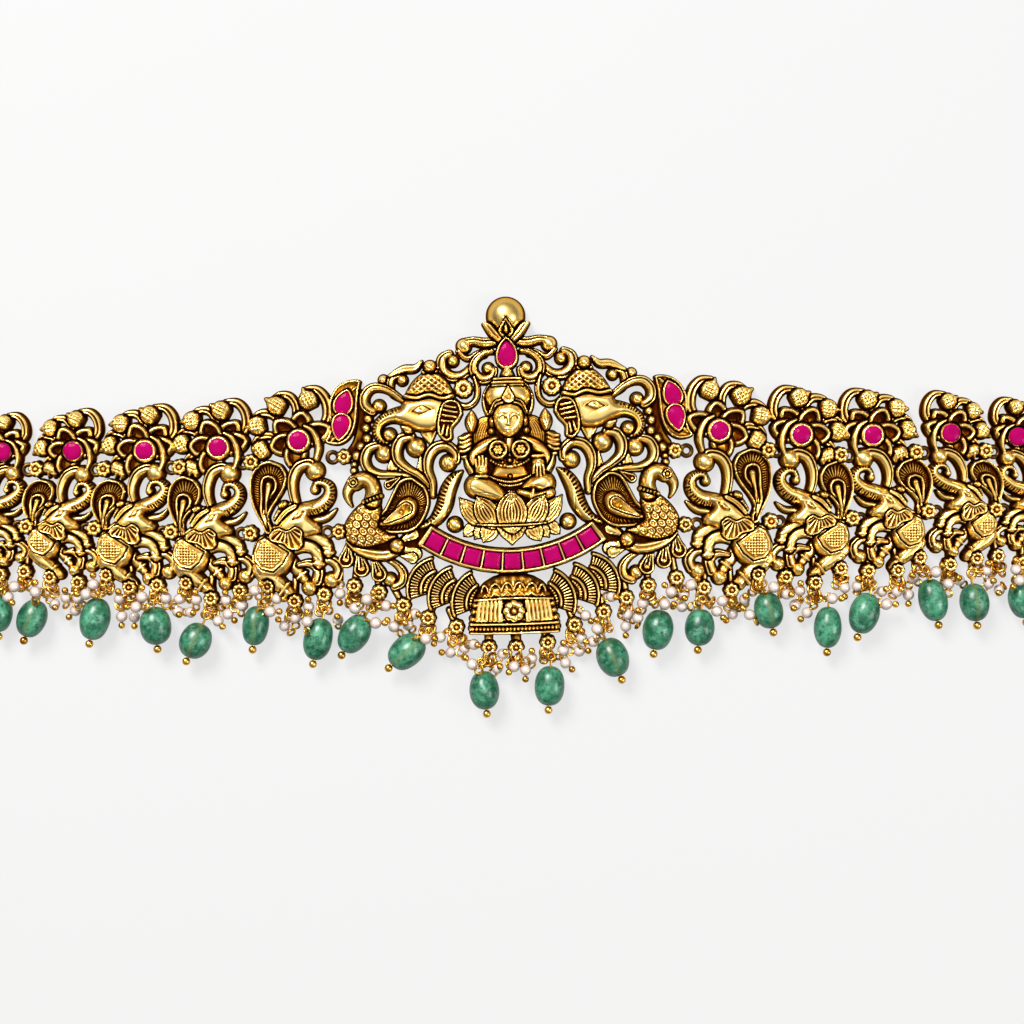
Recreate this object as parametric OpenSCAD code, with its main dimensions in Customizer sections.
// A waist belt of cast gold links round a large middle plaque, lying open on its back.
// +X runs along the belt, +Y towards the waist's upper edge, and +Z out of the front.
// The right half of each casting is described, and the left half mirrors it.

/* [Castings] */
// Thickness of the openwork that joins the ornaments
vine_t = 2.8; // [2.6:0.1:3.2]
// Radius of the ball on top of the plaque
crest_ball_r = 5; // [4.4:0.1:5.2]
// Depth of the bowl that hangs under the plaque's middle
bowl_depth = 6.4; // [5:0.1:7]

/* [Stones] */
// Clearance between a stone and its setting
stone_gap = 0.1; // [0.08:0.01:0.15]
// Radius of a flower link's round ruby
link_ruby_r = 2.2; // [2:0.05:2.3]
// Number of square rubies in the arched channel
arc_ruby_count = 9; // [7:1:9]

/* [Drops] */
// Radius of a pearl
pearl_r = 1.5; // [1.3:0.05:1.5]
// Radius of the wire that a pearl or an emerald is strung on
pin_r = 0.3; // [0.25:0.01:0.3]
// Radius of the ball that ends a pearl's pin
pearl_ball_r = 0.85; // [0.7:0.05:0.9]
// Radius of the ball that ends an emerald's pin
emerald_ball_r = 1; // [0.8:0.05:1]

/* [Back chain] */
// Length of one side's chain
chain_length = 165; // [120:5:200]
// Outside diameter of the chain
chain_d = 2.6; // [2:0.1:3]
// Radius of the curve that each chain lies in
chain_bend_r = 500; // [400:10:800]

/* [Hidden] */
LINK_COUNT = 5;
EMERALD_COUNT = 22;
SIDES = ["left", "right"];
GOLD = [0.80, 0.58, 0.22];
RUBY = [0.80, 0.02, 0.38];
EMERALD = [0.16, 0.55, 0.40];
PEARL = [0.93, 0.89, 0.84];

// Where the plaque's middle lies, and how far it is turned.
PLAQUE_AT = [0.75, 7.5];
PLAQUE_TURN = 1.65;
// How far the openwork reaches past the ornament on it.
edge = 0.15;
// Height, inside the openwork, at which the raised ornaments start.
root_z = 1;
crest_ball_at = [0, 39.2];

// Vines of the plaque's right half. Columns: path, width at its start, width at its end, ball radius at its end.
PLAQUE_VINES = [
    [[[2.2, 31.2], [5.2, 32.6], [8.9, 32.8], [10.4, 31]], 1.2, 2, 1.9],
    [[[5.1, 28.6], [8.5, 25.6], [14.1, 23.6], [16.1, 26.6], [14.6, 29.2], [13, 27.4]], 1.2, 1.8, 1.45],
    [[[5.1, 29], [7.9, 25.8], [5.6, 22.6], [4.1, 25.2]], 1.2, 1.8, 1.25],
    [[[7.9, 23.3], [7.2, 18.6], [10.2, 16.3], [13.4, 17.8]], 1.1, 1, 0],
    [[[14.2, 17.6], [16.5, 19]], 1.4, 1.4, 0],
    [[[7.4, 20.9], [9.6, 20.9]], 1.6, 1.6, 0],
    [[[25.2, 18.9], [28, 20.2], [29, 23.4], [26.6, 25.2], [24.6, 23.6], [26.1, 22.9]], 1.4, 1.6, 1.15],
    [[[28.8, 24.6], [25.4, 27], [21.6, 27.3]], 1.8, 0.8, 0],
    [[[25.8, 18.6], [31.1, 21.9], [35.1, 21.2], [35.8, 18.2], [34.4, 15.9], [32.1, 17.4]], 1.4, 1.8, 1.25],
    [[[26.4, 0.1], [32.6, -0.2], [35.8, 2.4], [35.4, 5.6], [33, 7.2], [31.4, 5]], 1.4, 2.2, 1.8],
    [[[20.2, -2], [25.3, 1], [27.9, 4], [27.2, 7.6], [24.6, 9], [23.1, 5.8]], 1.6, 2.6, 2.2],
    [[[18.5, -6.8], [19.8, -1.8], [20.6, 2.8], [18.9, 6.4], [15.4, 6.4], [15.3, 1.9]], 1.6, 2.4, 1.9],
    [[[28.7, -0.4], [29, 2.4], [28.6, 4.6]], 2, 0.8, 0],
    [[[23.6, 0.4], [22.6, 2.6], [22.2, 4.6]], 2, 0.8, 0],
    [[[24.4, -13.2], [17.6, -10.6], [15.4, -5.6], [14.3, -1.6], [12.1, -0.2]], 3, 1, 0],
    [[[41.4, -15.9], [37.6, -19], [32.4, -20.6], [28.9, -19.6], [28.6, -18]], 1, 2.4, 1.6],
    [[[31.4, -20.6], [27.4, -23.8], [27.7, -27.4], [30.3, -28], [30.3, -26.4]], 1.2, 1.8, 1.5],
    [[[27.5, -17.6], [25, -16.2], [22.9, -14.8]], 2, 1, 0],
    [[[27, -19.2], [24.6, -19.8], [22.6, -21.2]], 2, 1, 0],
    [[[26.8, -20.6], [25, -20.8], [23.4, -20.4]], 1.6, 0.8, 0],
    [[[40.4, -16.9], [41.1, -20.6]], 1.8, 2.6, 1.7],
    [[[38.2, -18.4], [37.6, -22.9]], 1.8, 2.6, 1.7],
    [[[35.2, -20], [33.7, -24.3]], 1.8, 2.6, 1.7],
    [[[36.6, -0.6], [34.6, -1.8], [33.7, -4.2], [34.4, -7.4]], 3.2, 3.8, 0],
    [[[38.9, -2.6], [40.2, -4.6], [39.8, -7.2]], 2.4, 0.8, 0],
    [[[19.6, 10.6], [19.2, 6.8], [20.4, 3.6]], 2.2, 1.6, 0],
    [[[12.6, -9.6], [15, -11.4], [17.4, -10.4]], 2, 2, 0],
    [[[11.4, -16], [13.4, -16.2], [15, -17]], 2, 2, 0]];
// Plain balls of the plaque's right half. Columns: x, y, radius.
PLAQUE_BALLS = [[31, 23.5, 1], [35.2, 14, 1.25], [35.8, 11.5, 1.25], [35.3, 9, 1.25], [37.2, 7.1, 1.2],
                [38, 4.9, 1.15], [38.7, 2.8, 1], [38.8, 0.9, 1], [14.1, -13.2, 1.9], [38.3, -2, 1.9]];
// High discs of the plaque's right half. Columns: x, y, radius.
PLAQUE_DISCS = [[19.6, 14.4, 5], [19.6, 20.4, 4.6], [37, -12.2, 5]];
// Flat discs of the plaque's right half. Columns: x, y, radius.
LOW_DISCS = [[9, 7.8, 1.4], [10.9, 20.8, 2.1], [23.6, 12.6, 3.2], [32.4, -14.4, 3.4], [19.6, 19.4, 5.4]];
// The elephant's trunk and ear at the plaque's shoulder. Columns: path, start width, end width, ball radius.
SHOULDER_TRUNK = [
    [[[24, 14], [28.6, 14.6], [31.9, 12.6], [31.7, 9.2], [29.6, 10.3]], 4.4, 2, 1.5],
    [[[22.4, 11.4], [25.6, 10.2]], 3, 1.6, 0],
    [[[18.4, 12.6], [19.8, 9.4], [20.6, 7.2]], 3, 1, 0],
    [[[15.4, 17], [13.2, 14.8], [13.2, 11.4], [15, 8.2]], 2.6, 1.8, 0]];
// The peacock's plume: a round head that runs to a point.
PLUME_AT = [25.4, -7];
PLUME_R = 5.2;
PLUME_TIP = [33, -13];

// The arched channel of square rubies.
channel_centre_y = 14.2;
channel_r = 36.85;
channel_w = 6.1;
channel_half_angle = 36;
channel_t = 3.4;
arc_ruby_pitch = 7.75;
arc_ruby_side = 4;
arc_ruby_h = 2.2;

// Pleated fans beside the bowl. Columns: x, y, outer radius, angle of its middle.
FANS = [[15.4, -24.6, 10.2, -14], [12, -27, 10.2, -20], [8, -29, 10.2, -24]];
FAN_SPREAD = 58;

// The bowl under the arch, its outline from top to rim.
BOWL = [[-4, -25.4], [4, -25.4], [8.2, -28.4], [10.3, -31.7], [10.3, -37.6], [11.2, -38.4], [11.2, -41],
        [-11.2, -41], [-11.2, -38.4], [-10.3, -37.6], [-10.3, -31.7], [-8.2, -28.4]];

// The seated figure. Columns: path, start width, end width.
FIGURE_LIMBS = [
    [[[0, 9], [0, 4], [0, -4]], 12, 11],
    [[[4.6, 7.4], [9.2, 3.4], [11.4, 1.4]], 4, 3],
    [[[11.4, 1.4], [11.6, 4.4], [11.2, 7.6]], 3, 3.2],
    [[[10.4, 9], [9.6, 12], [9.4, 14]], 2.6, 1.2],
    [[[6.6, 8.6], [7, 12]], 4.6, 3],
    [[[8.2, 3], [7.2, 0.4], [6.9, -1.6]], 2.6, 2.8],
    [[[9.6, -4], [5, -6.4], [0, -7]], 6, 4]];
// Petals of the figure's seat. Columns: base x, base y, tip x, tip y, width.
LOTUS = [[0, -13, 0, -5.9, 6.6], [3.2, -13, 7.6, -6.8, 6], [6.6, -12.6, 12.6, -6, 6],
         [0, -12.6, 0, -18.6, 6.6], [3.2, -13, 6.8, -17.8, 5.6], [6.6, -12.8, 11.4, -16.6, 4.6]];
halo_at = [0, 16.2];
halo_r = 6.6;
head_at = [0, 12.4];
head_r = 3.7;
crown_at = [0, 17.6];
crown_r = 4.3;

// The crest's pear-shaped ruby, round end down.
crest_ruby_at = [0, 27.9];
crest_ruby_r = 2.2;
crest_ruby_tip = [0, 31.8];
// The two pear-shaped rubies of the plaque's outer edge. Columns: x, y, radius, tip x, tip y.
PAISLEY_RUBIES = [[41, 16.6, 2.2, 41.9, 20.6], [41.2, 12, 2.2, 40.4, 8]];
PAISLEY = [[40.6, 22.6], [42.3, 18.6], [41.6, 14.3], [40.6, 10], [38.9, 6.4]];
PAISLEY_W = [3.4, 7, 7, 6.6, 2.4];
paisley_t = 3.4;
pear_ruby_h = 2.2;

// Links, from the plaque outwards. Columns: ruby x, ruby y, size of the flower, its turn in degrees, then
// three places of the elephant about the ruby: scroll ball, left curl's ball, outer corner of the rump.
LINKS_RIGHT = [
    [52.8, 17.2, 1, 0, [-3.6, -7.9], [-5.3, -34.65], [12.4, -29.65]],
    [73.2, 16.2, 1, 0, [-2.75, -6.15], [-5.6, -32], [11.1, -26.75]],
    [90.9, 16.1, 0.96, 4, [-2.2, -5.85], [-3, -30.1], [12.3, -25.1]],
    [110.2, 16.6, 0.86, 0, [-2.6, -5.85], [-3.1, -28.1], [10.9, -23.6]],
    [126.9, 15.7, 0.8, 0, [-2.4, -5.35], [-3.9, -25.85], [10, -21.9]]];
LINKS_LEFT = [
    [-51.8, 14.7, 1, 0, [-4, -7.6], [-8, -34.5], [10.5, -30.1]],
    [-71.8, 13, 1, 1, [-2.75, -6.5], [-6.5, -31.9], [10.5, -28]],
    [-90, 12.2, 0.96, 4, [-2.5, -5.5], [-5.6, -30], [11.1, -25.75]],
    [-107.8, 12.1, 0.87, 1, [-2.25, -5.9], [-4.3, -28.4], [10.5, -23.65]],
    [-125.4, 11.9, 0.8, 0, [-2.5, -5.35], [-4.3, -26.1], [10, -21.8]]];
// Vines of the first link's elephant and of the others'.
// Columns: path, start width, end width, ball radius.
FIRST_ELEPHANT = [
    [[[1.3, -16], [2.1, -12], [1.6, -8.8], [-0.4, -6.8], [-3.6, -7.9]], 2.2, 3.2, 2.35],
    [[[-0.6, -18.4], [-4.2, -17.2], [-6.7, -15.2], [-6.6, -12.4], [-4.8, -11.2], [-3.4, -12.5]], 4.4, 1.7, 1.15],
    [[[-3.4, -20.7], [-6.2, -20], [-8.1, -19.2]], 1.7, 0.7, 0],
    [[[-1.2, -21], [-3.7, -23]], 3, 1.4, 0],
    [[[9.2, -31], [6.2, -33.8], [3.6, -36.4]], 4.2, 2.6, 1.4],
    [[[4.2, -29], [2.4, -32], [1.2, -34.4]], 2.4, 1.8, 0],
    [[[4.4, -26.6], [0.2, -26], [-1.9, -27.4], [-2.6, -29.8]], 3, 1.8, 0],
    [[[0.8, -24.2], [-2.4, -25.2], [-4.6, -27.2], [-5.2, -28.8]], 2.8, 1.7, 0],
    [[[-0.6, -30], [-4.4, -30.2], [-6.4, -32], [-6.4, -34], [-5.3, -34.6]], 1.4, 1.8, 1.2],
    [[[2.6, -30.4], [-1.3, -31], [-3, -33], [-2.8, -35.2], [-1.2, -36]], 1.4, 1.8, 1.2],
    [[[3, -17.4], [7.4, -20.6], [9, -24]], 4, 5, 0]];
NEXT_ELEPHANT = [
    [[[1.6, -14.6], [2.8, -12], [2.8, -8.6], [1.4, -5.9], [-0.6, -4.9], [-2.75, -6.15]], 2.2, 2.9, 2.4],
    [[[1, -16.2], [-2.4, -15], [-4.8, -12.8], [-4.8, -10.6], [-3, -9.4], [-1.4, -11.2]], 4, 1.6, 1],
    [[[-2, -18.8], [-4.4, -18.2], [-6, -17]], 1.7, 0.7, 0],
    [[[0.2, -19], [-2.2, -21]], 3, 1.4, 0],
    [[[9, -29.6], [6, -31.6], [3.3, -33.4]], 4, 2.4, 1.2],
    [[[3, -27.4], [1.4, -30], [0.6, -31.4]], 2.4, 1.8, 0],
    [[[3.4, -24.4], [0.4, -24], [-1.7, -25.2], [-2.6, -27.4]], 3, 1.8, 0],
    [[[1, -22], [-2, -22.8], [-4, -24.2], [-4.7, -25.6]], 2.6, 1.7, 0],
    [[[-0.8, -27.8], [-4.4, -27.8], [-6.6, -29.2], [-6.8, -31.4], [-5.6, -32]], 1.4, 1.8, 1.2],
    [[[2, -28], [-1.2, -28.6], [-2.7, -30.6], [-2.4, -32.8], [-0.6, -33.3]], 1.4, 1.8, 1.2],
    [[[3.6, -16.6], [7.6, -19.4], [9, -22]], 4, 5, 0]];
// Head, ear and body of each. Columns: x, y, radius.
FIRST_ROUNDS = [[-0.2, -19.4, 3.7], [3.8, -22.8, 3], [7.8, -27.6, 4.7]];
NEXT_ROUNDS = [[1.4, -17.8, 3.5], [4.2, -22, 2.8], [7, -26.2, 4.4]];
// The plume's round head and its tip. Columns: x, y, radius, tip x, tip y.
FIRST_PLUME = [7.9, -9.6, 4.9, 9, -24];
NEXT_PLUME = [8.4, -11.2, 3.9, 9.9, -23.6];
// Points that carry a link's drops, from the curls to the rump.
FIRST_ANCHORS = [[-3, -34.6], [3.6, -36.4], [9.4, -31.6]];
NEXT_ANCHORS = [[-2.7, -32], [3.3, -33.4], [9.2, -29.8]];
// Points that carry the rings: scroll ball, mouth, last bud, plume's foot.
FIRST_LUGS = [[-3.6, -7.9], [-1.6, -22.4], [9, -2.15], [8.8, -22]];
NEXT_LUGS = [[-2.75, -6.15], [-0.6, -21.4], [6.1, -5], [9.7, -21.4]];
// Flowers of the first link and of the others, about the ruby. Columns: x, y of each petal's middle.
FIRST_PETALS = [[-0.95, 4.6], [-5.1, 2.3], [3.1, 2.5], [3.7, -1.4], [0.9, -4.1]];
NEXT_PETALS = [[-3, 4], [1.6, 4], [4.2, -0.3], [2.5, -3.6]];
PETAL_R = 2.1;
// Buds and the point where each stem leaves the flower. Columns: bud x, y, tip x, y, stem x, y, bow of the stem.
FIRST_BUDS = [[-2.6, 9.9, 0.4, 12.4, -5.6, 4.2, 3.6], [4.7, 8.7, 8, 9.8, 0.6, 5, 3.2],
              [10, 3.9, 12.8, 3.2, 4.6, 3.2, 2.8], [9, -2.1, 11.2, -3.6, 4.8, -0.4, 2.6]];
NEXT_BUDS = [[-1.2, 9.2, 2, 9.8, -5, 3, 4], [6.2, 6.8, 9, 6, 0.8, 4.6, 3], [8.7, 1, 11, -1, 4, 1.6, 2.8],
             [6.1, -4.9, 7.2, -7.8, 3.6, -2, 2.2]];
BUD_R = 2.2;
CRESCENT = [[-1.6, 2.8], [-4, 1.6], [-5.1, -1.1], [-4.4, -4.6]];
bezel_r = 3.1;
bezel_t = 3.6;
ruby_seat_z = 1.6;
ruby_h = 2.4;

// Rings that join the castings. Columns: x, y of each ring, from the plaque outwards.
RINGS_RIGHT = [[44.7, 12.3], [47.3, -6.1], [67.2, 12.2], [67.8, -5.5], [85.2, 11], [88.1, -4.8], [103.9, 11.7],
               [107, -3], [121.2, 12], [123.7, -2.6], [140.4, -2.2]];
RINGS_LEFT = [[-43.4, 10.6], [-44.7, -8.1], [-65.8, 9.2], [-66, -8.5], [-83.6, 8], [-85.7, -8.2], [-102.4, 7.5],
              [-104.8, -7.3], [-119.2, 7.5], [-121.7, -6.8], [-139, -5.6]];
ring_r = 1.5;
ring_wire_r = 0.35;
ring_z = 1.25;
lug_r = 0.72;
lug_wire_r = 0.25;
pocket_r = 2.45;
pocket_z = 2.35;
lug_arm_r = 0.4;
// How far the plaque's upper and lower lugs reach inwards.
lug_reach = [7, 6.4];

// Eyes that the drops hang from. Columns: x, y of the eye, x, y of the metal that carries it.
PLAQUE_EYES = [[-38, -21.4, -37.4, -16.6], [-31.8, -22.9, -32.4, -18], [-25.8, -26.2, -28.4, -21.6],
               [-19.6, -29.4, -17.4, -24], [-12.5, -31.6, -14.4, -27.4], [-4.5, -36.7, -4.6, -33],
               [2.3, -36.7, 1.7, -33], [10.15, -35.4, 9.4, -32.6], [16.8, -31, 15.4, -27],
               [24.1, -27.8, 23.4, -24.4], [29.7, -24.3, 29.2, -19.8], [35.2, -21.3, 34.8, -16.4],
               [42.2, -19.4, 41.2, -14.6]];
EYES_RIGHT = [[[49, -21.8], [55.9, -22.4], [62.4, -18.5]], [[69.4, -19.1], [76.7, -20.5], [83, -17]],
              [[89.9, -17.7], [97.2, -17.5], [102.7, -14.3]], [[110.2, -16.1], [116.8, -14.5], [122.1, -14]],
              [[128.2, -15.7], [134.2, -14.6], [138.8, -13.6]]];
EYES_LEFT = [[[-45.5, -23.5], [-52.8, -25.2], [-59.5, -21.5]], [[-66.5, -22.6], [-73.6, -24.5], [-79.8, -20.7]],
             [[-87, -21.2], [-93.9, -21.7], [-99.6, -18.7]], [[-106.7, -20.5], [-113.6, -19.2], [-120, -17.8]],
             [[-126.2, -18.5], [-132.2, -17.6], [-137, -16.6]]];
rosette_r = 1.8;
eye_r = 1.25;
eye_wire_r = 0.35;
eye_drop = 2.5;

// Emerald beads. Columns: x, y, width, length, degrees that the lower end swings towards +X.
EMERALDS = [
    [-137, -26.6, 7.2, 9.4, 4], [-126.1, -28, 7, 9.5, 0], [-117.8, -29.4, 7.2, 9.5, -20],
    [-102.1, -29.5, 7.6, 10.5, -13], [-87.1, -31.2, 8, 9.4, 5], [-77.2, -34.9, 7.8, 9, -24],
    [-62.4, -31.2, 6.6, 9.8, -7], [-46.8, -34.5, 7.2, 10.5, -12], [-37.8, -33.2, 7.6, 10.2, -31],
    [-24.8, -37.6, 8, 10, -48], [-5.6, -47.2, 7.6, 9.5, 6], [10.6, -46.1, 7.6, 9.8, -3],
    [26.2, -39, 8, 9.8, 22], [37.4, -32.2, 7.8, 10, -10], [47.8, -31.6, 7.4, 9.1, -5],
    [64.9, -27.4, 7.2, 9, 12], [79.6, -31.6, 7, 10.2, -2], [88.6, -28.1, 7.6, 10.2, -16],
    [105.6, -24.8, 7.2, 10.6, 13], [115.9, -25.4, 7.4, 9.4, 7], [127.9, -24.6, 7.2, 9.5, 9],
    [137.6, -25, 7.2, 9.4, -6]];
// Places of the pearls. Columns: x, y.
PEARLS_LEFT = [
    [-132.4, -23], [-130.3, -25.2], [-123, -24], [-121.4, -21.4], [-116.3, -22.7], [-112.7, -26], [-109.8, -24.4],
    [-106.6, -24.4], [-107.5, -27.6], [-102.2, -20.9], [-103.6, -23.2], [-96.4, -24.6], [-96, -29],
    [-90.2, -24], [-91.4, -26.4], [-92.8, -29.2], [-84.8, -24.4], [-81.4, -24.6], [-82, -27.8],
    [-78.8, -28], [-77.4, -24.8], [-70, -24.9], [-69.5, -28.4], [-71.8, -30.1], [-66, -26.2], [-62.4, -22.4],
    [-58.5, -27.6], [-57.2, -24.6], [-55.4, -31.4], [-52.5, -29.4], [-49.4, -26.6], [-49.2, -30],
    [-42.1, -29.9], [-41.6, -23.4], [-37.6, -26.8], [-34.6, -24.6], [-32.4, -30.4], [-28.2, -31.6], [-30, -26.3],
    [-24.6, -31.2], [-22.9, -28.4], [-20, -34.2], [-16.6, -34.2], [-14, -38], [-10.6, -37], [-8.2, -35.9],
    [-8.6, -40.6], [-2.4, -42], [-1, -38.4]];
PEARLS_RIGHT = [
    [1.8, -41.4], [4.6, -42.2], [6.2, -39.4], [14.6, -40.6], [14, -37.4], [18, -37.6], [18.6, -34.4],
    [21.3, -35], [22.2, -31.8], [19.6, -28.8], [26.1, -24.1], [30, -28.4], [29.6, -31.5], [32.4, -29.2],
    [33.8, -25.8], [38.9, -25.7], [40.8, -22.8], [44, -23.4], [43.6, -26.6], [45.7, -21.1], [52, -27.6],
    [53.2, -25], [56.2, -28.4], [59.2, -24.8], [60, -28.4], [66, -21.6], [69.4, -23.4], [73, -22.6],
    [71.8, -26.2], [74.8, -28.1], [80.2, -24.3], [84, -21.8], [87.2, -21.4], [93.4, -22.8], [93.8, -25.8],
    [97, -22.8], [100, -23.6], [101.2, -19.4], [106, -17.8], [109.4, -20.8], [112.6, -20], [120, -20.8],
    [119.4, -17.6], [125.6, -17.2], [122.6, -22.4], [126, -19.8], [132.4, -19.4], [133, -22.6], [138.6, -18.6]];

// The clasp that the belt closes with.
hook_w = 2.4;
HOOK = [[0, 0], [-6, 0], [-12, 0.4], [-16, 3.2], [-14.6, 7], [-10.6, 7.2], [-8.6, 5]];
clasp_ring_r = 5.2;
clasp_wire_r = 1.1;
clasp_gap = 0.3;
curve_steps = 2;
// The smallest ball that stands out of the openwork as a sphere.
smallest_ball_r = 1.6;

// Points and outlines

// A point of the smooth curve through b and c, with a before and d after them.
function curve_point(a, b, c, d, t) =
    0.5 * (2 * b + (c - a) * t + (2 * a - 5 * b + 4 * c - d) * t * t + (3 * b - a - 3 * c + d) * t * t * t);
function at(path, i) = path[max(0, min(len(path) - 1, i))];
function smooth(path) = concat(
    [for (i = [0:len(path) - 2]) for (k = [0:curve_steps - 1])
        curve_point(at(path, i - 1), path[i], path[i + 1], at(path, i + 2), k / curve_steps)],
    [path[len(path) - 1]]);
function unit(v) = v / max(norm(v), 0.0001);
function side_of(path, i) = let (d = unit(at(path, i + 1) - at(path, i - 1))) [-d.y, d.x];
// The outline of a band along a path, half a width to each side of it.
function band(path, widths) = concat(
    [for (i = [0:len(path) - 1]) path[i] + side_of(path, i) * widths[i] / 2],
    [for (i = [len(path) - 1:-1:0]) path[i] - side_of(path, i) * widths[i] / 2]);
function taper(n, w0, w1) = [for (i = [0:n - 1]) w0 + (w1 - w0) * i / (n - 1)];
// A round head of radius r at c that runs to a point at tip.
function pear(c, r, tip) =
    let (d = tip - c, turn = atan2(d.y, d.x), open = acos(r / norm(d)))
    concat([tip], [for (k = [0:10]) let (a = turn + open + (360 - 2 * open) * k / 10) c + r * [cos(a), sin(a)]]);
function last(list) = list[len(list) - 1];

module vine(row) {
    path = smooth(row[0]);
    polygon(band(path, taper(len(path), row[1], row[2])));
}
// The openwork that carries a casting's ornaments.
module openwork() linear_extrude(vine_t) offset(delta = edge) children();
// A raised ornament of a given outline, its top at height h.
module raised(h) translate([0, 0, root_z + 0.1 * h]) linear_extrude(h * 0.9 - root_z) children();
// The round foot of a ball.
module ball_root(x, y, r) translate([x, y]) circle(r, $fn = 16);
// The ball on the crest, flattened behind.
module crest_ball() intersection() {
    translate([0, 0, 1.2]) sphere(crest_ball_r - 0.3, $fn = 48);
    cylinder(r = crest_ball_r + 1, h = 20, $fn = 48);
}
module ring(r, wire) rotate_extrude($fn = 32) translate([r, 0]) circle(wire, $fn = 16);
module both_halves() {
    children();
    mirror([1, 0, 0]) children();
}
module on_plaque() translate([PLAQUE_AT.x, PLAQUE_AT.y, 0]) rotate(PLAQUE_TURN) children();

// Rings, lugs and eyes

module pocket(at) translate([at.x, at.y, -1]) cylinder(r = pocket_r, h = pocket_z + 1, $fn = 32);
// The upright loop that a joining ring passes through, on its arm. way is 1 where the casting lies towards +X.
module lug(at, way) translate([at.x + way * ring_r, at.y, ring_z]) {
    rotate([90, 0, 0]) ring(lug_r, lug_wire_r);
    translate([way * lug_r, 0, 0]) rotate([0, way * 90, 0]) cylinder(r = lug_arm_r, h = 1.6, $fn = 16);
}
module lug_root(at, way, anchor) polygon(band([[at.x + way * (pocket_r + 0.3), at.y], anchor], [2, 2.4]));
module eye_stem(eye, anchor) polygon(band([anchor, [eye.x, eye.y]], [2, 1.6]));
module rosette(eye) translate([eye.x, eye.y]) circle(rosette_r, $fn = 20);
module drop_eye(eye) translate([eye.x, eye.y - eye_drop, eye_wire_r + 0.1]) ring(eye_r, eye_wire_r);

// Plaque

module plaque_half() {
    for (row = PLAQUE_VINES) vine(row);
    for (row = SHOULDER_TRUNK) vine(row);
    for (row = concat(PLAQUE_VINES, SHOULDER_TRUNK)) if (row[3] > 0)
        ball_root(last(row[0]).x, last(row[0]).y, row[3]);
    for (row = concat(PLAQUE_BALLS, PLAQUE_DISCS, LOW_DISCS)) ball_root(row[0], row[1], row[2]);
    for (row = FIGURE_LIMBS) vine(row);
    for (row = LOTUS) petal(row);
    for (row = FANS) fan(row);
    polygon(pear(PLUME_AT, PLUME_R, PLUME_TIP));
    polygon(band(smooth(PAISLEY), smooth(PAISLEY_W)));
}
module petal(row) {
    base = [row[0], row[1]];
    tip = [row[2], row[3]];
    polygon(band([base, base * 0.75 + tip * 0.25, base * 0.45 + tip * 0.55, base * 0.15 + tip * 0.85, tip],
                 [row[4] * 0.5, row[4], row[4] * 0.95, row[4] * 0.45, 0.3]));
}
module fan(row) {
    polygon(concat([[row[0], row[1]]], [for (k = [0:8])
        let (a = row[3] - FAN_SPREAD / 2 + FAN_SPREAD * k / 8) [row[0] + row[2] * cos(a), row[1] + row[2] * sin(a)]]));
}
module channel_sector(r0, r1, half_angle) {
    polygon(concat(
        [for (k = [-12:12]) let (a = half_angle * k / 12 - 90) [r0 * cos(a), channel_centre_y + r0 * sin(a)]],
        [for (k = [12:-1:-12]) let (a = half_angle * k / 12 - 90) [r1 * cos(a), channel_centre_y + r1 * sin(a)]]));
}
module plaque_middle() {
    ball_root(crest_ball_at.x, crest_ball_at.y, crest_ball_r);
    translate([0, 34.2]) square([6, 5], center = true);
    polygon(pear(crest_ruby_at, crest_ruby_r + 1, crest_ruby_tip + [0, 0.6]));
    translate([0, 23.4]) square([5.4, 5], center = true);
    translate(halo_at) circle(halo_r, $fn = 32);
    polygon(BOWL);
    channel();
    translate([0, -18.8]) square([3, 4], center = true);
}
module channel() channel_sector(channel_r - channel_w / 2, channel_r + channel_w / 2, channel_half_angle);
module rim(wall) difference() {
    children();
    offset(delta = -wall) children();
}
module plume() polygon(pear(PLUME_AT, PLUME_R, PLUME_TIP));
// The raised ornaments lie in three layers of one height each.
module low_layer_half() {
    for (row = concat(PLAQUE_VINES, SHOULDER_TRUNK)) if (row[3] >= smallest_ball_r)
        translate(last(row[0])) circle(row[3] - 0.2, $fn = 16);
    for (row = PLAQUE_BALLS) if (row[2] >= smallest_ball_r) translate([row[0], row[1]]) circle(row[2] - 0.2, $fn = 16);
    rim(0.8) plume();
    polygon(pear(PLUME_AT + [1.2, -1.4], 1.9, PLUME_TIP - [0.8, -0.6]));
    translate([FANS[2][0], FANS[2][1]]) circle(2, $fn = 16);
}
module low_layer() {
    low_layer_half();
    mirror([1, 0]) low_layer_half();
}
module channel_layer() {
    channel();
    for (side = [0, 1]) mirror([side, 0]) polygon(band(smooth(PAISLEY), smooth(PAISLEY_W)));
    polygon(pear(crest_ruby_at, crest_ruby_r + 0.8, crest_ruby_tip + [0, 0.5]));
}
module middle_layer() for (side = [0, 1]) mirror([side, 0]) {
    for (k = [0:3]) vine(FIGURE_LIMBS[k]);
    for (k = [2:5]) petal(LOTUS[k]);
}
module top_layer() for (side = [0, 1]) mirror([side, 0]) {
    vine(FIGURE_LIMBS[5]);
    vine(FIGURE_LIMBS[6]);
    petal(LOTUS[0]);
    petal(LOTUS[1]);
}
module high_layer() for (side = [0, 1]) mirror([side, 0])
    for (row = PLAQUE_DISCS) translate([row[0], row[1]]) circle(row[2] - 0.7, $fn = 32);
module head_layer() {
    translate(head_at) circle(head_r, $fn = 32);
    translate(crown_at) circle(crown_r, $fn = 32);
}
module bowl_relief() intersection() {
    translate([0, 0, root_z]) linear_extrude(bowl_depth) offset(delta = -0.2) polygon(BOWL);
    vault_r = (11.3 * 11.3 + bowl_depth * bowl_depth) / (2 * bowl_depth);
    translate([0, -20, bowl_depth - vault_r]) rotate([90, 0, 0]) cylinder(r = vault_r, h = 24, $fn = 96);
}
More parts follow.
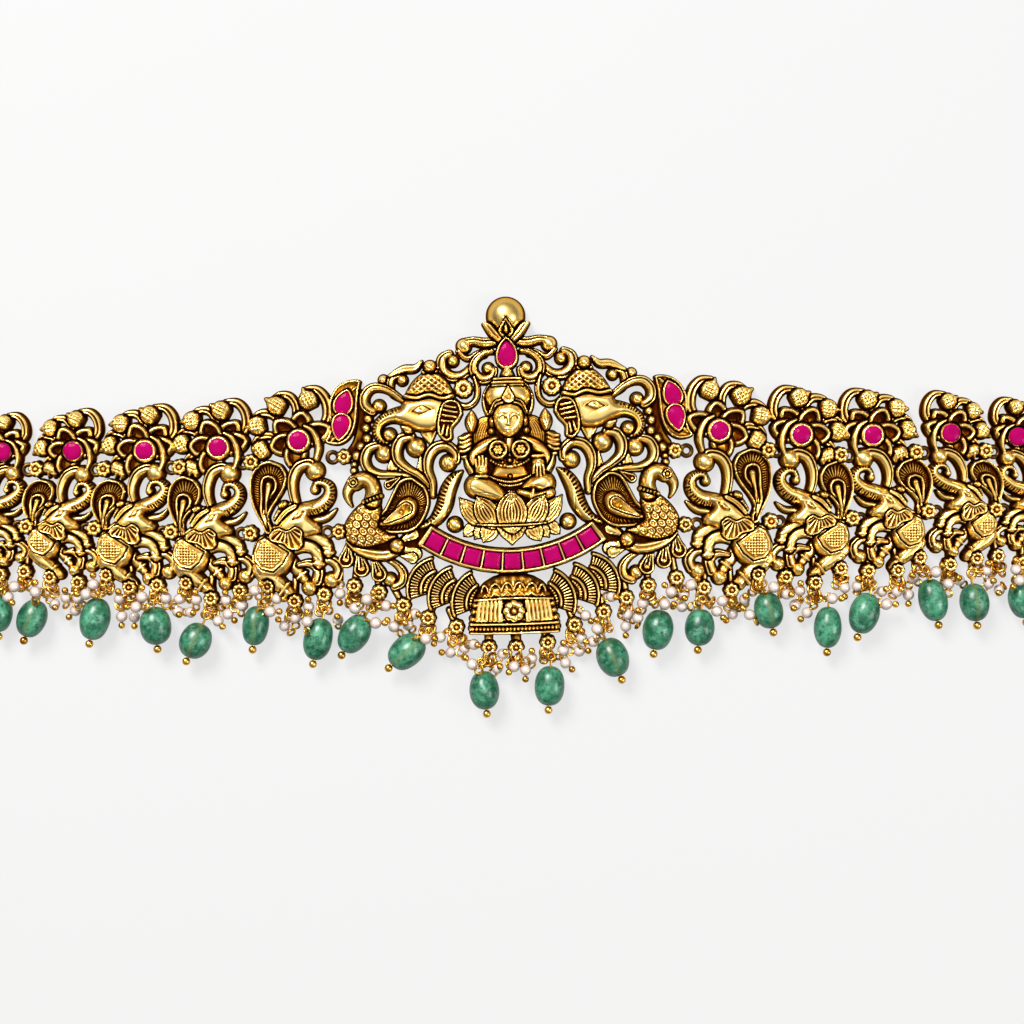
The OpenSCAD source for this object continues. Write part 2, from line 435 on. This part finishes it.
module plaque() color(GOLD) {
    difference() {
        union() {
            openwork() {
                on_plaque() {
                    plaque_half();
                    mirror([1, 0]) plaque_half();
                    plaque_middle();
                }
                for (row = PLAQUE_EYES) {
                    eye_stem(row, [row[2], row[3]]);
                    rosette(row);
                }
                for (k = [0, 1]) {
                    lug_root(RINGS_RIGHT[k], -1, RINGS_RIGHT[k] - [lug_reach[k], 0]);
                    lug_root(RINGS_LEFT[k], 1, RINGS_LEFT[k] + [lug_reach[k], 0]);
                }
            }
            on_plaque() {
                raised(3.8) low_layer();
                raised(channel_t) channel_layer();
                raised(4.6) middle_layer();
                raised(6) top_layer();
                raised(5.4) high_layer();
                raised(7.4) head_layer();
                bowl_relief();
                translate([crest_ball_at.x, crest_ball_at.y, 1.2]) crest_ball();
            }
        }
        on_plaque() {
            for (k = [0:arc_ruby_count - 1]) arc_ruby_place(k) stone_block(arc_ruby_side + 2 * stone_gap, 3);
            linear_extrude_at(channel_t - pear_ruby_h + 0.6)
                polygon(pear(crest_ruby_at, crest_ruby_r + stone_gap, crest_ruby_tip));
            both_halves() for (row = PAISLEY_RUBIES) linear_extrude_at(paisley_t - pear_ruby_h + 0.6)
                polygon(pear([row[0], row[1]], row[2] + stone_gap, [row[3], row[4]]));
        }
        for (k = [0, 1]) {
            pocket(RINGS_RIGHT[k]);
            pocket(RINGS_LEFT[k]);
        }
    }
    for (row = PLAQUE_EYES) drop_eye(row);
    for (k = [0, 1]) {
        lug(RINGS_RIGHT[k], -1);
        lug(RINGS_LEFT[k], 1);
    }
}
module linear_extrude_at(z) translate([0, 0, z]) linear_extrude(6) children();

// Rubies

module arc_ruby_place(k) {
    a = (k - (arc_ruby_count - 1) / 2) * arc_ruby_pitch;
    translate([channel_r * sin(a), channel_centre_y - channel_r * cos(a), channel_t - arc_ruby_h + 0.6])
        rotate(a) children();
}
module stone_block(side, h) translate([-side / 2, -side / 2, 0]) cube([side, side, h]);
module table_cut(h) {
    linear_extrude(h - 0.5) children();
    linear_extrude(h) offset(delta = -0.5) children();
}
module crest_ruby() color(RUBY) on_plaque() translate([0, 0, channel_t - pear_ruby_h + 0.6])
    table_cut(pear_ruby_h) pear_stone(crest_ruby_at, crest_ruby_r, crest_ruby_tip);
module pear_stone(c, r, tip) offset(delta = -stone_gap) polygon(pear(c, r + stone_gap, tip));
module arc_rubies() color(RUBY) on_plaque() for (k = [0:arc_ruby_count - 1]) arc_ruby_place(k) {
    stone_block(arc_ruby_side, arc_ruby_h - 0.4);
    translate([0, 0, 0.4]) stone_block(arc_ruby_side - 0.7, arc_ruby_h - 0.4);
}
module paisley_rubies() color(RUBY) on_plaque() both_halves() for (row = PAISLEY_RUBIES)
    translate([0, 0, paisley_t - pear_ruby_h + 0.6])
        table_cut(pear_ruby_h) pear_stone([row[0], row[1]], row[2], [row[3], row[4]]);
module link_ruby(side, i) {
    place = side == "right" ? LINKS_RIGHT[i - 1] : LINKS_LEFT[i - 1];
    color(RUBY) translate([place[0], place[1], ruby_seat_z]) {
        cylinder(r = link_ruby_r, h = ruby_h - 0.5, $fn = 48);
        cylinder(r = link_ruby_r - 0.5, h = ruby_h, $fn = 48);
    }
}

// Links

function flip(side) = side == "right" ? 1 : -1;
function links(side) = side == "right" ? LINKS_RIGHT : LINKS_LEFT;
function rings(side) = side == "right" ? RINGS_RIGHT : RINGS_LEFT;
function eyes(side) = side == "right" ? EYES_RIGHT : EYES_LEFT;
// The three places that an elephant's drawing is fitted by.
function drawn_places(i) = let (l = LINKS_RIGHT[i == 1 ? 0 : 1]) [l[4], l[5], l[6]];
// A point about the ruby, moved to the belt.
function on_belt(side, i, p) = let (l = links(side)[i - 1]) [l[0] + flip(side) * p.x, l[1] + p.y];
// A point of the elephant's drawing, moved to the belt so that the three places fit.
function elephant_point(side, i, p) =
    let (from = drawn_places(i), l = links(side)[i - 1],
         u = from[1] - from[0], v = from[2] - from[0], w = p - from[0], d = u.x * v.y - u.y * v.x,
         a = (w.x * v.y - w.y * v.x) / d, b = (u.x * w.y - u.y * w.x) / d)
    on_belt(side, i, l[4] + a * (l[5] - l[4]) + b * (l[6] - l[4]));
function elephant_size(side, i) = let (from = drawn_places(i), l = links(side)[i - 1])
    norm(l[5] - l[4]) / norm(from[1] - from[0]);
function flower_point(side, i, p) = let (l = links(side)[i - 1])
    on_belt(side, i, l[2] * [p.x * cos(l[3]) - p.y * sin(l[3]), p.x * sin(l[3]) + p.y * cos(l[3])]);
function elephant_vines(i) = i == 1 ? FIRST_ELEPHANT : NEXT_ELEPHANT;
function rounds(i) = i == 1 ? FIRST_ROUNDS : NEXT_ROUNDS;
function buds(i) = i == 1 ? FIRST_BUDS : NEXT_BUDS;
function plume_of(i) = i == 1 ? FIRST_PLUME : NEXT_PLUME;
module link_band(points, w0, w1) {
    path = smooth(points);
    polygon(band(path, taper(len(path), w0, w1)));
}
module flower_blobs(side, i) {
    size = links(side)[i - 1][2];
    translate(on_belt(side, i, [0, 0])) circle(bezel_r, $fn = 32);
    for (p = i == 1 ? FIRST_PETALS : NEXT_PETALS)
        polygon(pear(flower_point(side, i, p * 0.8), PETAL_R * size, flower_point(side, i, unit(p) * (norm(p) + 2.4))));
    for (row = buds(i)) {
        bud = [row[0], row[1]];
        root = [row[4], row[5]];
        way = unit(bud - root);
        mid = (bud + root) / 2 + [-way.y, way.x] * row[6];
        polygon(pear(flower_point(side, i, bud), BUD_R * size, flower_point(side, i, [row[2], row[3]])));
        link_band([for (p = [root, mid, bud + [-way.y, way.x] * 1.2]) flower_point(side, i, p)], 1.4, 1.5);
    }
    link_band([for (p = CRESCENT) flower_point(side, i, p)], 1, 1.6);
    // Short ties between the flower and the elephant.
    polygon(band([flower_point(side, i, [-4.2, -3.6]), elephant_point(side, i, drawn_places(i)[0])], [2, 2.4]));
    polygon(band([flower_point(side, i, [5, -3.2]), elephant_point(side, i, [plume_of(i)[0], plume_of(i)[1] + 2])], [2, 2]));
}
module elephant_blobs(side, i) {
    size = elephant_size(side, i);
    for (row = elephant_vines(i)) link_band([for (p = row[0]) elephant_point(side, i, p)], row[1] * size, row[2] * size);
    for (row = elephant_vines(i)) if (row[3] > 0)
        translate(elephant_point(side, i, last(row[0]))) circle(row[3] * size, $fn = 16);
    for (row = rounds(i)) translate(elephant_point(side, i, [row[0], row[1]])) circle(row[2] * size, $fn = 24);
    plume_shape(side, i);
}
module plume_shape(side, i) {
    row = plume_of(i);
    size = elephant_size(side, i);
    c = elephant_point(side, i, [row[0], row[1]]);
    tip = elephant_point(side, i, [row[3], row[4]]);
    polygon(pear(c, row[2] * size, tip));
}
module link_relief(side, i) {
    size = elephant_size(side, i);
    row = plume_of(i);
    raised(3.8) {
        rim(0.7) plume_shape(side, i);
        polygon(pear(elephant_point(side, i, [row[0] + 0.7, row[1] - 2.6]), 1.3 * size,
                     elephant_point(side, i, [row[3], row[4] + 1.6])));
        for (v = elephant_vines(i)) if (v[3] * size >= smallest_ball_r)
            translate(elephant_point(side, i, last(v[0]))) circle(v[3] * size - 0.3, $fn = 24);
        for (b = buds(i)) translate(flower_point(side, i, [b[0], b[1]])) circle(BUD_R * links(side)[i - 1][2] - 0.4, $fn = 24);
    }
    raised(5.4) for (v = rounds(i)) translate(elephant_point(side, i, [v[0], v[1]])) circle(v[2] * size - 0.6, $fn = 24);
}
// Room for the plaque's edge beside the first links.
module plaque_room(side) {
    edge_x = side == "right" ? 46.4 : -46;
    translate([edge_x - (side == "right" ? 6 : 0), side == "right" ? 20 : 15, -1]) cube([6, 10, 9]);
}
module link(side, i) {
    way = flip(side);
    ring_places = rings(side);
    inner = [ring_places[2 * i - 2], ring_places[2 * i - 1]];
    outer = [for (k = [2 * i, 2 * i + 1]) if (k < len(ring_places)) ring_places[k]];
    at_ruby = on_belt(side, i, [0, 0]);
    lugs = i == 1 ? FIRST_LUGS : NEXT_LUGS;
    anchors = i == 1 ? FIRST_ANCHORS : NEXT_ANCHORS;
    color(GOLD) {
        difference() {
            union() {
                openwork() {
                    flower_blobs(side, i);
                    elephant_blobs(side, i);
                    lug_root(inner[0], way, elephant_point(side, i, lugs[0]));
                    lug_root(inner[1], way, elephant_point(side, i, lugs[1]));
                    if (i < LINK_COUNT) lug_root(outer[0], -way, flower_point(side, i, lugs[2]));
                    lug_root(last(outer), -way, elephant_point(side, i, lugs[3]));
                    for (k = [0:2]) {
                        eye_stem(eyes(side)[i - 1][k], elephant_point(side, i, anchors[k]));
                        rosette(eyes(side)[i - 1][k]);
                    }
                }
                link_relief(side, i);
                translate([at_ruby.x, at_ruby.y, root_z + 0.25]) cylinder(r = bezel_r * 0.95, h = bezel_t - root_z, $fn = 48);
            }
            translate([at_ruby.x, at_ruby.y, ruby_seat_z]) cylinder(r = link_ruby_r + stone_gap, h = 4, $fn = 48);
            for (at = concat(inner, outer)) pocket(at);
            if (i == 1) plaque_room(side);
        }
        for (at = inner) lug(at, way);
        for (at = outer) lug(at, -way);
        for (eye = eyes(side)[i - 1]) drop_eye(eye);
    }
}
module joining_rings(side) color(GOLD) for (at = rings(side)) translate([at.x, at.y, ring_z]) ring(ring_r, ring_wire_r);

// Emeralds and pearls

// The way that an emerald's lower end points.
function down_of(e) = [sin(e[4]), -cos(e[4])];
function all_eyes() = concat([for (row = PLAQUE_EYES) [row.x, row.y]],
    [for (l = EYES_LEFT) for (p = l) p], [for (l = EYES_RIGHT) for (p = l) p]);
module along_emerald(e) translate([e[0], e[1], e[2] / 2]) rotate([90, 0, e[4]]) children();
module emerald_bead(e) {
    half = e[3] / 2;
    profile = [for (k = [-8:8]) let (a = k * 90 / 9) [e[2] / 2 * pow(cos(a), 0.8), half * sin(a)]];
    hole = pin_r + 0.15;
    color(EMERALD) along_emerald(e) difference() {
        rotate_extrude($fn = 48) polygon(concat([[0, -half]], profile, [[0, half]]));
        translate([0, 0, -half - 1]) cylinder(r = hole, h = e[3] + 2, $fn = 24);
    }
}
module emerald_pin(e) color(GOLD) along_emerald(e) {
    half = e[3] / 2;
    translate([0, 0, -half - 1.6]) cylinder(r = pin_r, h = e[3] + 1.8, $fn = 24);
    translate([0, 0, half + emerald_ball_r + 0.1]) sphere(emerald_ball_r, $fn = 32);
    translate([0, 0, -half - 2.4]) rotate([90, 0, 0]) ring(0.85, pin_r);
}
// What a pearl can lie on. Columns: x, y, z, radius.
function emerald_lumps() = [for (e = EMERALDS) for (k = [-1, 0, 1])
    let (p = [e[0], e[1]] + down_of(e) * k * (e[3] - e[2] * 0.8) / 2)
    [p.x, p.y, e[2] / 2, k == 0 ? e[2] / 2 : e[2] * 0.43]];
function pin_lumps() = [for (e = EMERALDS) for (k = [-1, 1])
    let (p = [e[0], e[1]] + down_of(e) * k * (e[3] / 2 + (k > 0 ? 1.1 : 2.4))) [p.x, p.y, e[2] / 2, 1.2]];
function eye_lumps() = [for (p = all_eyes()) for (k = [0, 1]) [p.x, p.y - k * eye_drop, k == 0 ? 0.2 : -0.4, 2.1]];
function rest_z(p, lumps) = max([for (o = lumps)
    let (d = norm([p.x - o[0], p.y - o[1]]), reach = o[3] + pearl_r + 0.06)
    d < reach ? o[2] + sqrt(reach * reach - d * d) : pearl_r]);
// Each pearl comes to rest on what already lies under it.
function settle(places, lumps, i = 0, done = []) = i == len(places) ? done :
    let (p = places[i], z = max(pearl_r, rest_z(p, concat(lumps, done))))
    settle(places, lumps, i + 1, concat(done, [[p.x, p.y, z, pearl_r]]));
FIXED_LUMPS = concat(emerald_lumps(), pin_lumps(), eye_lumps());
SETTLED = settle(concat(PEARLS_LEFT, PEARLS_RIGHT), FIXED_LUMPS);
// The plaque's lower edge, that pins keep clear of. Columns: x, y, z, radius.
WALL_LUMPS = concat([for (row = PLAQUE_EYES) [row[2], row[3], 1.4, 2.4]], [for (x = [-10:2.5:10]) [x, -31.8, 1.4, 2]]);
// A pearl's pin ends in a ball on the side with the most room.
PIN_WAYS = [for (tilt = [0, 35, 65]) for (turn = [0:45:315]) [cos(tilt) * cos(turn), cos(tilt) * sin(turn), sin(tilt)]];
function room(p, lumps) = min([for (o = lumps) norm([p.x - o[0], p.y - o[1], p.z - o[2]]) - o[3]]);
function pin_way(i) =
    let (c = [SETTLED[i][0], SETTLED[i][1], SETTLED[i][2]],
         others = concat(FIXED_LUMPS, WALL_LUMPS, [for (k = [0:len(SETTLED) - 1]) if (k != i) SETTLED[k]]),
         rooms = [for (w = PIN_WAYS) min(2.2, room(c + w * (pearl_r + pearl_ball_r), others))],
         best = max(rooms))
    PIN_WAYS[[for (k = [0:len(rooms) - 1]) if (rooms[k] >= best) k][0]];
module along_pearl(i) {
    w = pin_way(i);
    translate([SETTLED[i][0], SETTLED[i][1], SETTLED[i][2]])
        rotate([0, acos(w.z), atan2(w.y, w.x)]) children();
}
function pearl_range(side) = side == "left" ? [0:len(PEARLS_LEFT) - 1] : [len(PEARLS_LEFT):len(SETTLED) - 1];
module pearls(side) color(PEARL) for (i = pearl_range(side)) along_pearl(i) difference() {
    sphere(pearl_r, $fn = 32);
    cylinder(r = 0.3, h = 4, center = true, $fn = 16);
}
module pearl_pins(side) color(GOLD) for (i = pearl_range(side)) along_pearl(i) {
    translate([0, 0, -pearl_r]) cylinder(r = 0.2, h = 2 * pearl_r + 0.4, $fn = 16);
    translate([0, 0, pearl_r + pearl_ball_r * 0.9]) sphere(pearl_ball_r, $fn = 24);
}
module emerald_pins(side) for (e = EMERALDS) if ((e[0] > 0) == (side == "right")) emerald_pin(e);

// Back chain and clasp

function chain_turn() = chain_length / chain_bend_r * 180 / PI;
// Where a chain starts, and where its arc's centre is.
function chain_start(side) = last(rings(side)) + [flip(side) * (ring_r + ring_wire_r + clasp_gap), 0];
function chain_end(side) = chain_start(side)
    + [flip(side) * chain_bend_r * sin(chain_turn()), chain_bend_r * (cos(chain_turn()) - 1)];
module chain(side) {
    start = chain_start(side);
    color(GOLD) translate([start.x, start.y - chain_bend_r, chain_d / 2])
        rotate(side == "right" ? 90 - chain_turn() : 90)
        rotate_extrude(angle = chain_turn(), $fn = 200) translate([chain_bend_r, 0]) circle(chain_d / 2, $fn = 24);
}
module at_chain_end(side) {
    p = chain_end(side);
    translate([p.x, p.y, 0]) rotate(-flip(side) * chain_turn()) translate([flip(side) * clasp_gap, 0, 0]) children();
}
module clasp_hook() color(GOLD) at_chain_end("left")
    linear_extrude(hook_w) polygon(band(smooth(HOOK), taper(len(smooth(HOOK)), hook_w, hook_w)));
module clasp_ring() color(GOLD) at_chain_end("right")
    translate([clasp_ring_r + clasp_wire_r, 0, clasp_wire_r]) ring(clasp_ring_r, clasp_wire_r);

plaque();
crest_ruby();
arc_rubies();
paisley_rubies();
for (side = SIDES) for (i = [1:LINK_COUNT]) {
    link(side, i);
    link_ruby(side, i);
}
for (i = [1:EMERALD_COUNT]) emerald_bead(EMERALDS[i - 1]);
for (side = SIDES) {
    emerald_pins(side);
    pearls(side);
    pearl_pins(side);
    joining_rings(side);
    chain(side);
}
clasp_hook();
clasp_ring();
